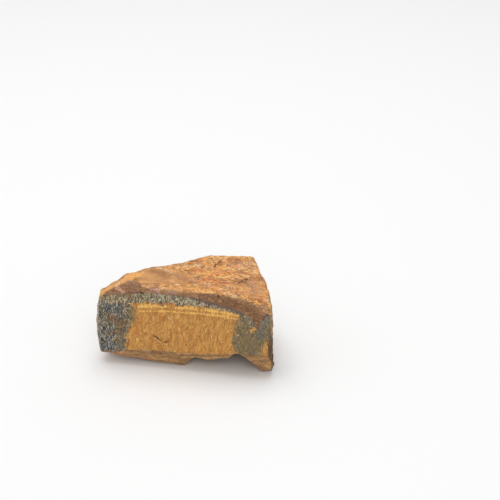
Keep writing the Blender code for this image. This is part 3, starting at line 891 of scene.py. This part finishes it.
class Break(Recipe):
    """A recipe for one kind of broken surface, which has threads and chips at hand."""

    def __init__(self, name, inputs=()):
        inputs = [("Place", "place", None), *inputs]
        made, self.given, self.result = new_tree(name, "ShaderNodeTree", inputs, FINISH)
        super().__init__(made.tree)
        self.place = self.given["Place"]

    def streaks(self, width, length, contrast, seed, **more):
        values = {"Place": self.place, "Width": width, "Length": length, "Contrast": contrast, "Seed": seed}
        return self.group(THREADS, {**values, **more})["Shade"]

    def chips(self, size, seed, bend=1.0, lean=0.0):
        values = {"Place": self.place, "Size": size, "Seed": seed, "Bend": bend, "Lean": lean}
        return self.group(CHIPS, values)

    def send(self, colour, roughness, height):
        self.fill(self.result, {"Colour": colour, "Roughness": roughness, "Height": height})
        return self.tree


print("groups:", THREADS.name, "and", CHIPS.name)

# %% [markdown]
# ## The silk face
#
# The gold panel is threads of quartz with rust in them: broad soft bands of deeper and paler gold, with
# finer and finer bright streaks on top. Each finish below is written as a base and a list of layers, because
# that is how the stone looks close up: many faint tones, each on its own few threads or chips.

# %% Build the gold threads
class SilkFace(Break):
    """The silk face's recipe, with the patterns that its gold and its grey threads share."""

    def __init__(self):
        super().__init__("silk_face")
        self.fine = self.streaks(0.45, 2.6, 0.17, 1.0, Bend=0.7)
        self.hair = self.streaks(0.3, 1.1, 0.17, 5.0, Bend=0.7)
        self.slivers = self.chips((0.38, 0.5, 1.5), 3.0, bend=0.9, lean=0.12)
        self.grains = self.chips((0.3, 0.4, 0.6), 7.0, bend=0.8)
        self.patch = self.noise(self.place, (3.2, 3.2, 4.0), 4, detail=3.0, roughness=0.6)
        self.dotted = self.plus(self.times(self.fine, 0.45), self.times(self.hair, 0.55))


def gold_threads(make, band):
    curtain = make.streaks(0.9, 6.0, 0.15, 17.0, Bend=0.9)
    wide = make.noise(make.place, (7.0, 7.0, 6.0), 5, detail=2.0)
    across = make.noise(make.place, (16.0, 6.0, 1.5), 6, detail=3.0, roughness=0.6)
    gold = make.lay(make.mix(band, (172, 116, 52), (202, 148, 74)), [
        (wide, 0.42, 0.6, 0.5, (188, 120, 48)), (across, 0.46, 0.36, 0.35, (160, 104, 44)),
        (make.patch, 0.52, 0.62, 0.4, (206, 156, 84)),
        (curtain, 0.55, 0.95, 0.5, (216, 162, 84)), (curtain, 0.4, 0.05, 0.45, (166, 102, 42)),
        (make.fine, 0.6, 1.0, 0.45, (216, 168, 92)), (make.fine, 0.4, 0.0, 0.35, (156, 104, 46)),
        (make.slivers["Tint"], 0.84, 0.88, 0.35, (222, 172, 98)),
        (make.slivers["Tint"], 0.18, 0.14, 0.35, (150, 98, 44)),
        (make.slivers["Other"], 0.94, 0.95, 0.45, (212, 112, 50)),
        (make.hair, 0.8, 1.0, 0.35, (226, 180, 108)),
        (make.grains["Other"], 0.985, 0.99, 0.6, (244, 214, 160)),
    ])
    seams = make.plus(make.mask("seams"), make.swing(make.fine, 0.6), make.swing(make.hair, 0.5))
    sunny = make.plus(make.times(make.fine, 0.6), make.times(make.hair, 0.4))
    sunny = make.mix(sunny, (216, 142, 40), (255, 210, 120))
    return make.lay(gold, [(seams, 0.1, 0.8, 0.9, sunny), (seams, -0.3, -0.9, 0.55, (172, 104, 40))])


# %% [markdown]
# Outside the panel the threads are unrusted and grey, bluest at the left-hand end, and were splintered when
# the chunk was broken, so hard pale slivers lie on nearly black ones, and their palest flecks are partly
# painted glints off the broken ends. Just under the brow most are pale.

# %% Build the grey threads
def grey_threads(make):
    frost, slivers, grains = make.mask("frost"), make.slivers["Tint"], make.grains["Tint"]
    grey = make.mix(make.dotted, (54, 51, 44), (138, 128, 108))
    earth = make.mix(make.dotted, (68, 58, 36), (152, 132, 90))
    grey = make.lay(grey, [(make.patch, 0.44, 0.6, 0.8, earth)])
    blue = make.limit(make.times(make.mask("blue"), make.ramp(make.patch, 0.62, 0.4, 0.35, 1.3)))
    grey = make.mix(blue, grey, make.mix(make.dotted, (48, 56, 62), (120, 127, 130)))
    # the palest slivers and grains are pale quartz and painted glints together
    grey = make.lay(grey, [
        (slivers, 0.3, 0.2, 0.6, (46, 44, 42)), (slivers, 0.76, 0.8, 0.45, (146, 140, 126)),
        (slivers, 0.93, 0.95, 0.65, (194, 188, 176)), (grains, 0.82, 0.86, 0.75, (188, 182, 168)),
        (grains, 0.22, 0.16, 0.75, (34, 34, 34)),
    ], frost)
    tan = (make.grains["Other"], 0.92, 0.94, 0.75, (212, 156, 90))
    grey = make.lay(grey, [tan], make.ramp(make.patch, 0.4, 0.56))

    under_brow = make.ramp(make.mask("brow_depth"), 4.8, 2.2)
    pale = make.mix(make.streaks(0.36, 1.3, 0.14, 13.0, Bend=1.0), (94, 82, 56), (196, 180, 146))
    # the palest slivers and grains are pale quartz and painted glints together
    pale = make.lay(pale, [
        (make.patch, 0.5, 0.62, 0.6, (124, 104, 68)), (slivers, 0.34, 0.26, 0.6, (70, 58, 38)),
        (slivers, 0.74, 0.8, 0.65, (218, 202, 168)), (grains, 0.84, 0.88, 0.6, (224, 216, 194)),
        (grains, 0.2, 0.14, 0.55, (62, 52, 36)),
    ])
    return make.mix(make.times(under_brow, make.mask("silk"), frost, 0.85), grey, pale)


# %% [markdown]
# The panel has no drawn edge: rust crept along each thread by itself, so the border is frayed by the
# streaks. Olive, where rust has only begun, is a wash over both.

# %% Join gold, grey and olive
def silk_group():
    make = SilkFace()
    band, tint = make.streaks(1.5, 8.0, 0.14, 9.0, Lean=0.08), make.slivers["Tint"]
    frayed = make.plus(make.mask("gold"), make.swing(make.fine, 0.75), make.swing(make.hair, 0.4),
                       make.swing(make.patch, 0.5))
    golden = make.ramp(frayed, 0.3, 0.7)
    colour = make.mix(golden, grey_threads(make), gold_threads(make, band))
    washed = make.mask("olive")
    mossy = make.plus(washed, make.times(make.swing(make.patch, 0.8), make.ramp(washed, 0, 0.2)))
    streaked = make.plus(make.times(make.dotted, 0.75), make.times(tint, 0.25))
    olive = make.mix(streaked, (70, 57, 33), (170, 144, 98))
    colour = make.mix(make.limit(make.times(mossy, 0.95)), colour, olive)
    rugged = make.plus(tint, make.times(make.grains["Tint"], 0.5))
    rugged = make.times(rugged, make.ramp(golden, 0, 1, 0.2, 0.07))
    height = make.plus(make.times(make.fine, 0.1), make.times(make.hair, 0.06), make.times(band, 0.05),
                       rugged)
    return make.send(colour, make.ramp(golden, 0, 1, 0.62, 0.5), height)


SILK = silk_group()
print("silk face has", len(SILK.nodes), "nodes")

# %% [markdown]
# ## The crown
#
# The crown is crust: iron oxides in tan, ochre, orange and a mauve brown, in layers that flaked off in
# small plates. Layers run along the seam, so the stains are stretched along X. Chips of three sizes are laid
# over soft clouds, because the crust broke away in big flakes first and then crumbled. The calm places are
# a smooth shell in one quiet brown.

# %% Build the crown's finish
def crown_group():
    make = Break("crown_crust")
    place = make.place
    layers = make.noise(place, (11.0, 4.0, 4.0), 6, detail=4.0, roughness=0.62, warp=0.5)
    clouds = make.noise(place, (6.0, 4.6, 4.0), 7, detail=3.0, roughness=0.62, warp=0.7)
    warm = make.noise(place, (7.0, 5.4, 4.0), 15, detail=3.0, roughness=0.62, warp=0.7)
    specks = make.noise(place, (0.9, 0.8, 0.8), 8, detail=2.0, roughness=0.7)
    large, middle = make.chips((4.6, 2.8, 2.4), 2.0, bend=2.6), make.chips((2.2, 1.3, 1.2), 5.0, bend=2.0)
    small = make.chips((1.1, 0.8, 0.8), 8.0, bend=1.2)
    smooth = make.mask("calm")
    lively = make.ramp(smooth, 0, 1, 1.0, 0.15)

    colour = make.lay(make.mix(make.ramp(layers, 0.38, 0.62), (200, 139, 82), (231, 173, 108)), [
        (warm, 0.53, 0.6, 0.7, (228, 146, 68)), (warm, 0.62, 0.7, 0.55, (208, 110, 52)),
        (clouds, 0.46, 0.36, 0.7, (156, 110, 82)), (clouds, 0.56, 0.64, 0.6, (236, 178, 112)),
        (large["Tint"], 0.7, 0.74, 0.4, (234, 176, 110)), (large["Tint"], 0.3, 0.26, 0.4, (166, 106, 66)),
        (middle["Tint"], 0.8, 0.83, 0.5, (238, 186, 124)), (middle["Tint"], 0.2, 0.16, 0.5, (150, 100, 72)),
        (middle["Other"], 0.84, 0.87, 0.5, (226, 130, 54)),
        (small["Tint"], 0.86, 0.89, 0.6, (248, 208, 158)), (small["Tint"], 0.16, 0.12, 0.6, (132, 86, 58)),
    ], lively)
    colour = make.lay(colour, [
        (specks, 0.5, 0.72, 0.4, (240, 190, 128)), (specks, 0.48, 0.3, 0.55, (144, 94, 58))])
    colour = make.mix(make.limit(make.times(large["Seam"], lively, 0.35)), colour, (128, 78, 42))
    shell = make.mix(make.ramp(layers, 0.36, 0.64), (160, 106, 60), (200, 145, 88))
    shell = make.lay(shell, [(specks, 0.5, 0.7, 0.3, (222, 168, 110))])
    colour = make.mix(make.limit(make.times(smooth, smooth, 0.75)), colour, shell)
    rugged = make.times(make.plus(large["Tint"], make.times(middle["Tint"], 0.5)), lively, 0.2)
    height = make.plus(make.times(layers, 0.25), make.times(specks, lively, 0.1), rugged)
    return make.send(colour, make.ramp(smooth, 0, 1, 0.74, 0.55), height)


CROWN = crown_group()
print("crown has", len(CROWN.nodes), "nodes")

# %% [markdown]
# ## The bevels, the undercut and the raw break
#
# The bevels and the undercut broke across the threads, which leaves a smooth brown surface with faint
# streaks along the seam: mauve brown above, and lighter and more flecked below. One group makes both, with
# its two tones and the strength of its flecks as inputs.

# %% Build the finish of the smooth breaks
def bevel_group():
    make = Break("smooth_break", [("Dark", "colour", tone(128, 88, 57)),
                                  ("Light", "colour", tone(164, 120, 80)), ("Flecks", "value", 0.25)])
    given = make.given
    layers = make.noise(make.place, (10.0, 3.0, 0.8), 9, detail=4.0, roughness=0.65, warp=0.4)
    clouds = make.noise(make.place, (4.0, 3.0, 2.0), 10, detail=3.0, roughness=0.6)
    specks = make.noise(make.place, (0.8, 0.7, 0.5), 11, detail=2.0, roughness=0.7)
    facets = make.chips((3.0, 1.8, 1.2), 4.0, bend=1.6)["Tint"]
    flecks = make.chips((0.75, 0.6, 0.45), 6.0, bend=0.9)["Tint"]
    colour = make.lay(make.mix(make.ramp(layers, 0.4, 0.6), given["Dark"], given["Light"]), [
        (clouds, 0.54, 0.64, 0.4, (134, 98, 70)), (clouds, 0.45, 0.34, 0.4, (172, 122, 70)),
        (facets, 0.76, 0.8, 0.35, (184, 142, 108)), (facets, 0.24, 0.2, 0.35, (104, 74, 52)),
        (specks, 0.54, 0.74, 0.4, (204, 162, 122)), (specks, 0.46, 0.28, 0.45, (86, 60, 40)),
        (flecks, 0.8, 0.84, given["Flecks"], (206, 148, 86)),
        (flecks, 0.2, 0.16, given["Flecks"], (70, 52, 36)),
    ])
    height = make.plus(make.times(layers, 0.25), make.times(specks, 0.1), make.times(facets, 0.12))
    return make.send(colour, 0.5, height)


BEVEL = bevel_group()
print("smooth break has", len(BEVEL.nodes), "nodes")

# %% [markdown]
# The ends and the back broke along the threads, and show the whole seam in layers: brown crust below, then
# long threads that are gold in some places and grey in others, two bright gold seams, a pale splintered
# layer that comes and goes, and the crust of the crown. Height decides the layer, and noise bends them all.

# %% Build the finish of the raw break
def raw_group():
    make = Break("raw_break")
    place = make.place
    fine, hair = make.streaks(0.55, 4.4, 0.18, 21.0, Bend=0.8), make.streaks(0.32, 1.6, 0.18, 25.0, Bend=0.7)
    slivers = make.chips((0.6, 0.6, 2.6), 13.0, bend=0.9, lean=0.06)["Tint"]
    zones = make.noise(place, (9.0, 9.0, 34.0), 12, detail=3.0, roughness=0.6, warp=0.3)
    clouds = make.noise(place, (6.0, 6.0, 4.0), 13, detail=4.0, roughness=0.65)
    sway = make.noise(place, (15.0, 15.0, 40.0), 14, detail=1.0)
    up = make.plus(make.parts(place)["Z"], make.swing(sway, 10.0), make.swing(fine, 0.9))

    gold = make.lay(make.mix(fine, (146, 98, 44), (206, 154, 82)), [
        (slivers, 0.8, 0.84, 0.5, (226, 182, 108)), (slivers, 0.22, 0.18, 0.5, (124, 82, 38))])
    grey = make.lay(make.mix(fine, (62, 58, 48), (134, 124, 100)), [
        (slivers, 0.8, 0.84, 0.55, (184, 174, 146)), (slivers, 0.22, 0.18, 0.6, (46, 42, 36))])
    tan = make.mix(fine, (112, 86, 52), (164, 126, 80))
    low_crust = make.mix(fine, (92, 66, 42), (146, 106, 68))
    colour = make.mix(make.ramp(make.plus(zones, make.swing(fine, 0.06)), 0.47, 0.52), grey, gold)
    colour = make.lay(colour, [(clouds, 0.54, 0.62, 0.6, tan), (up, 9.0, 6.4, 0.85, low_crust)])
    sunny = make.mix(fine, (196, 134, 46), (246, 200, 118))
    for height, half in ((25.4, 0.7), (27.8, 1.1)):
        away = make.chain("ABSOLUTE", make.plus(up, -height), 0.0)
        colour = make.lay(colour, [(away, half, half * 0.4, 0.8, sunny)])
    pale = make.mix(hair, (92, 76, 48), (188, 170, 130))
    thick = make.plus(up, make.swing(clouds, 9.0))
    pale_layer = make.times(make.ramp(thick, 29.0, 30.4), make.ramp(thick, 33.6, 32.4),
                            make.ramp(clouds, 0.36, 0.5, 0.2, 0.8))
    crust = make.mix(make.ramp(clouds, 0.4, 0.6), (136, 98, 68), (196, 138, 84))
    ochre = make.mix(hair, (150, 98, 54), (210, 148, 88))
    colour = make.lay(make.mix(pale_layer, colour, pale), [
        (up, 32.8, 33.8, 0.9, crust), (clouds, 0.4, 0.32, 0.8, ochre),
        (hair, 0.8, 0.98, 0.5, (204, 190, 156)), (hair, 0.25, 0.03, 0.5, (58, 46, 34)),
    ])
    height = make.plus(make.times(fine, 0.16), make.times(hair, 0.08), make.times(slivers, 0.16))
    return make.send(colour, 0.66, height)


RAW = raw_group()
print("raw break has", len(RAW.nodes), "nodes")

# %% [markdown]
# ## The stone's own finish
#
# One material carries all the surfaces, blended by the skin's masks, so that no border between them
# follows the mesh. The painted shade comes on top, then the stains, some of which are painted shade,
# painted highlights and painted rim light. A stain's mask is not laid on evenly: it says how likely a spot
# is to be stained, and noise of the stain's own grain size decides, so weak stains turn to scattered flecks.
# Last, hollows are darkened with painted shade, and the edges that stand proud are made paler.

# %% Build the stone's material
STAIN_TONES = {  # tone, share, and grain along X, Y and Z in millimetres
    "bark": ((78, 56, 32), 0.85, (1.2, 1.2, 3.0)), "umber": ((118, 82, 52), 0.85, (1.4, 0.9, 0.9)),
    "ash": ((184, 172, 148), 0.8, (0.6, 0.6, 1.2)), "mauve": ((152, 116, 100), 0.8, (1.5, 1.0, 0.8)),
    "slate": ((96, 82, 78), 0.8, (0.9, 0.6, 0.5)), "rust": ((218, 100, 48), 0.8, (1.0, 0.5, 0.6)),
    "golden": ((240, 168, 80), 0.85, (1.4, 1.0, 0.8)), "rose": ((202, 154, 128), 0.8, (1.4, 0.9, 0.9)),
    "cream": ((244, 212, 166), 0.9, (0.55, 0.45, 0.6)), "dark": ((72, 48, 32), 0.85, (1.6, 1.6, 1.6)),
}
# SHADE is the tone of the painted shade, HOLLOW_DARK that of the painted shade in hollows, and EDGE_PALE is
# laid on proud edges
SHADE, EDGE_PALE, HOLLOW_DARK = (122, 84, 50), (218, 178, 128), (70, 48, 30)
UNDERCUT = {"Dark": tone(142, 108, 66), "Light": tone(202, 158, 102), "Flecks": 0.5}
DARKER, BRIGHTER = 0.72, 1.2  # how far a stain's own tone is mottled
BUMP = 0.8
GLOSS = 0.3


def lit(colour, factor):
    """A tone made darker or brighter, in linear values."""
    return (*[min(part * factor, 1.0) for part in tone(*colour)[:3]], 1.0)


def surfaces(make, place):
    """The raw break, with the other surfaces blended over it. Gives colour, roughness and height."""
    colour, rough, height = make.group(RAW, {"Place": place})
    for tree, name, tones in ((BEVEL, "bevel", {}), (BEVEL, "undercut", UNDERCUT), (CROWN, "crown", {}),
                              (SILK, "silk", {})):
        where, finish = make.mask(name), make.group(tree, {"Place": place, **tones})
        colour = make.mix(where, colour, finish["Colour"])
        rough, height = [make.add("ShaderNodeMix", {0: where, 2: below, 3: finish[socket]}, data_type="FLOAT")
                         for below, socket in ((rough, "Roughness"), (height, "Height"))]
    return colour, rough, height


def stained(make, place, colour):
    """The painted shade, then the stains, some of them painted light, over a colour."""
    # painted shade, laid first
    colour = make.mix(make.times(make.mask("shade"), 0.55), colour, SHADE)
    mottle = make.ramp(make.noise(place, (0.7, 0.6, 0.9), 41, detail=2.0, roughness=0.7), 0.34, 0.66)
    for seed, (kind, (stain, share, grain)) in enumerate(STAIN_TONES.items(), start=30):
        chance, spots = make.mask(kind), make.noise(place, grain, seed, detail=2.0, roughness=0.6)
        spotted = make.ramp(make.plus(chance, make.swing(spots, 2.2)), 0.4, 0.66)
        mottled = make.mix(mottle, lit(stain, DARKER), lit(stain, BRIGHTER))
        covered = make.limit(make.times(spotted, make.ramp(chance, 0.0, 0.15), share))
        colour = make.mix(covered, colour, mottled)
    return colour


def shaded_hollows_pale_edges(make, place, colour):
    """A colour with its proud edges made paler and painted shade in its hollows."""
    proud, relief = make.mask("proud"), make.mask("relief")
    edge_breakup = make.noise(place, (0.9, 0.7, 1.1), 40, detail=2.0, roughness=0.6)
    edge_paling = make.times(make.ramp(proud, 0.08, 0.4), make.ramp(edge_breakup, 0.4, 0.6, 0.1, 1.0), 0.45)
    # painted shade: hollows in the form and in the relief are darkened
    hollow_shade = make.limit(make.plus(make.ramp(proud, -0.06, -0.45, 0.0, 0.5),
                                 make.ramp(relief, -0.08, -0.4, 0.0, 0.4)))
    return make.mix(hollow_shade, make.mix(edge_paling, colour, EDGE_PALE), HOLLOW_DARK)


def stone_material(name, loose=False):
    """The finish of the stone, or of its loose splinters, which each have a tint of their own."""
    made = bpy.data.materials.new(name)
    made.use_nodes = True
    make = Recipe(made.node_tree)
    place = make.place_on_stone()
    colour, rough, height = surfaces(make, place)
    colour = shaded_hollows_pale_edges(make, place, stained(make, place, colour))
    if loose:
        tint = make.mask("tint")
        colour = make.lay(colour, [
            (tint, 0.5, 0.9, 0.5, (188, 178, 152)), (tint, 0.35, 0.1, 0.5, (62, 54, 42))])
    bump = make.add("ShaderNodeBump", {"Height": height, "Distance": MM, "Strength": BUMP})
    make.fill(made.node_tree.nodes["Principled BSDF"].inputs, {
        "Base Color": colour, "Roughness": rough, "Normal": bump, "Specular IOR Level": GLOSS})
    return made


silk_and_crust = stone_material("silk_and_crust")
use_tree(stone, GRAIN, Finish=silk_and_crust)
stone.data.shade_smooth()
print("stone has", len(stone.data.polygons), "faces and", len(silk_and_crust.node_tree.nodes), "nodes")

# %% [markdown]
# ## Loose splinters
#
# Where the threads tore, splinters still cling to the stone, more than a thousand of them, each a fraction
# of a millimetre thick. A second Geometry Nodes tree scatters them: points on the skin, thick where the
# break is hackly, and on each point a small faceted spindle laid along the threads with a lean of its own.
# Half of each is sunk in, so none floats. Every spindle keeps the masks of the place it sits on, so the
# stone's own finish dresses it, with one random tint each to tell it from the next.

# %% Scatter the splinters
SPINDLE_FACES = 20


def splinter_tree():
    inputs = [("Skin", "mesh", None), ("Number Each Square Millimetre", "value", 1.3),
              ("Half Width", "value", 0.13), ("Half Length", "value", 0.5), ("Lean", "value", 0.3),
              ("Seed", "count", 7), ("Finish", "material", None)]
    make, given, result = new_tree("splinters", "GeometryNodeTree", inputs, [("Splinters", "mesh")])
    place = make.place_on_stone()
    patches = make.ramp(make.noise(place, (6, 6, 9), 51), 0.45, 0.6)
    above_crust = make.ramp(make.parts(place)["Z"], 8.0, 12.0)
    clean = make.ramp(make.mask("bark"), 0.2, 0.0)
    on_wall = make.times(make.mask("wall"), patches, above_crust, clean, 0.3)
    torn = make.plus(make.times(make.mask("hackly"), make.mask("frost")), on_wall)
    torn = make.times(torn, make.ramp(make.mask("above_ground"), 0.9, 1.0),
                      make.ramp(make.mask("proud"), 0.2, 0.05))
    density = make.times(torn, given["Number Each Square Millimetre"], MM**-2)
    scattered = make.add("GeometryNodeDistributePointsOnFaces",
                         {"Mesh": given["Skin"], "Density": density, "Seed": given["Seed"]}, out=None)

    def chosen(low, high, seed):
        return make.add("FunctionNodeRandomValue", {0: low, 1: high, 8: seed}, data_type="FLOAT_VECTOR")

    upward = make.vector("ADD", make.grow(chosen((-1, -1, 0), (1, 1, 0), 1), given["Lean"]), (0.12, 0, 1))
    upright = make.add("FunctionNodeAlignRotationToVector", {"Vector": upward}, axis="Z")
    turned = make.add("FunctionNodeAlignRotationToVector",
                      {"Rotation": upright, "Vector": scattered["Normal"]}, axis="X", pivot_axis="Z")
    spindle = make.add("GeometryNodeMeshIcoSphere", {"Radius": MM, "Subdivisions": 1})
    sizes = make.joined(make.times(given["Half Width"], 0.7), given["Half Width"], given["Half Length"])
    scale = make.vector("MULTIPLY", sizes, chosen((0.7, 0.6, 0.5), (1.2, 1.4, 1.6), 2))
    laid = make.add("GeometryNodeInstanceOnPoints", {"Points": scattered["Points"], "Instance": spindle,
                                                     "Rotation": turned, "Scale": scale})
    tint = make.parts(chosen((0, 0, 0), (1, 1, 1), 3))["X"]
    tinted = make.add("GeometryNodeStoreNamedAttribute", {"Geometry": laid, "Name": "tint", "Value": tint},
                      data_type="FLOAT", domain="INSTANCE")
    return finished(make, tinted, given, result)


splinters = placed("splinters", stone.data.copy())
use_tree(splinters, splinter_tree(), Finish=stone_material("loose_splinters", loose=True))
splinter_faces = len(splinters.data.polygons)
print("splinters have", splinter_faces, "faces, so there are", splinter_faces // SPINDLE_FACES)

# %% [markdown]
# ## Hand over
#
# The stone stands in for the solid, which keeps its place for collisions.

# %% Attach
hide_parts(NODE)
for piece in (stone, splinters):
    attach(piece, "root")
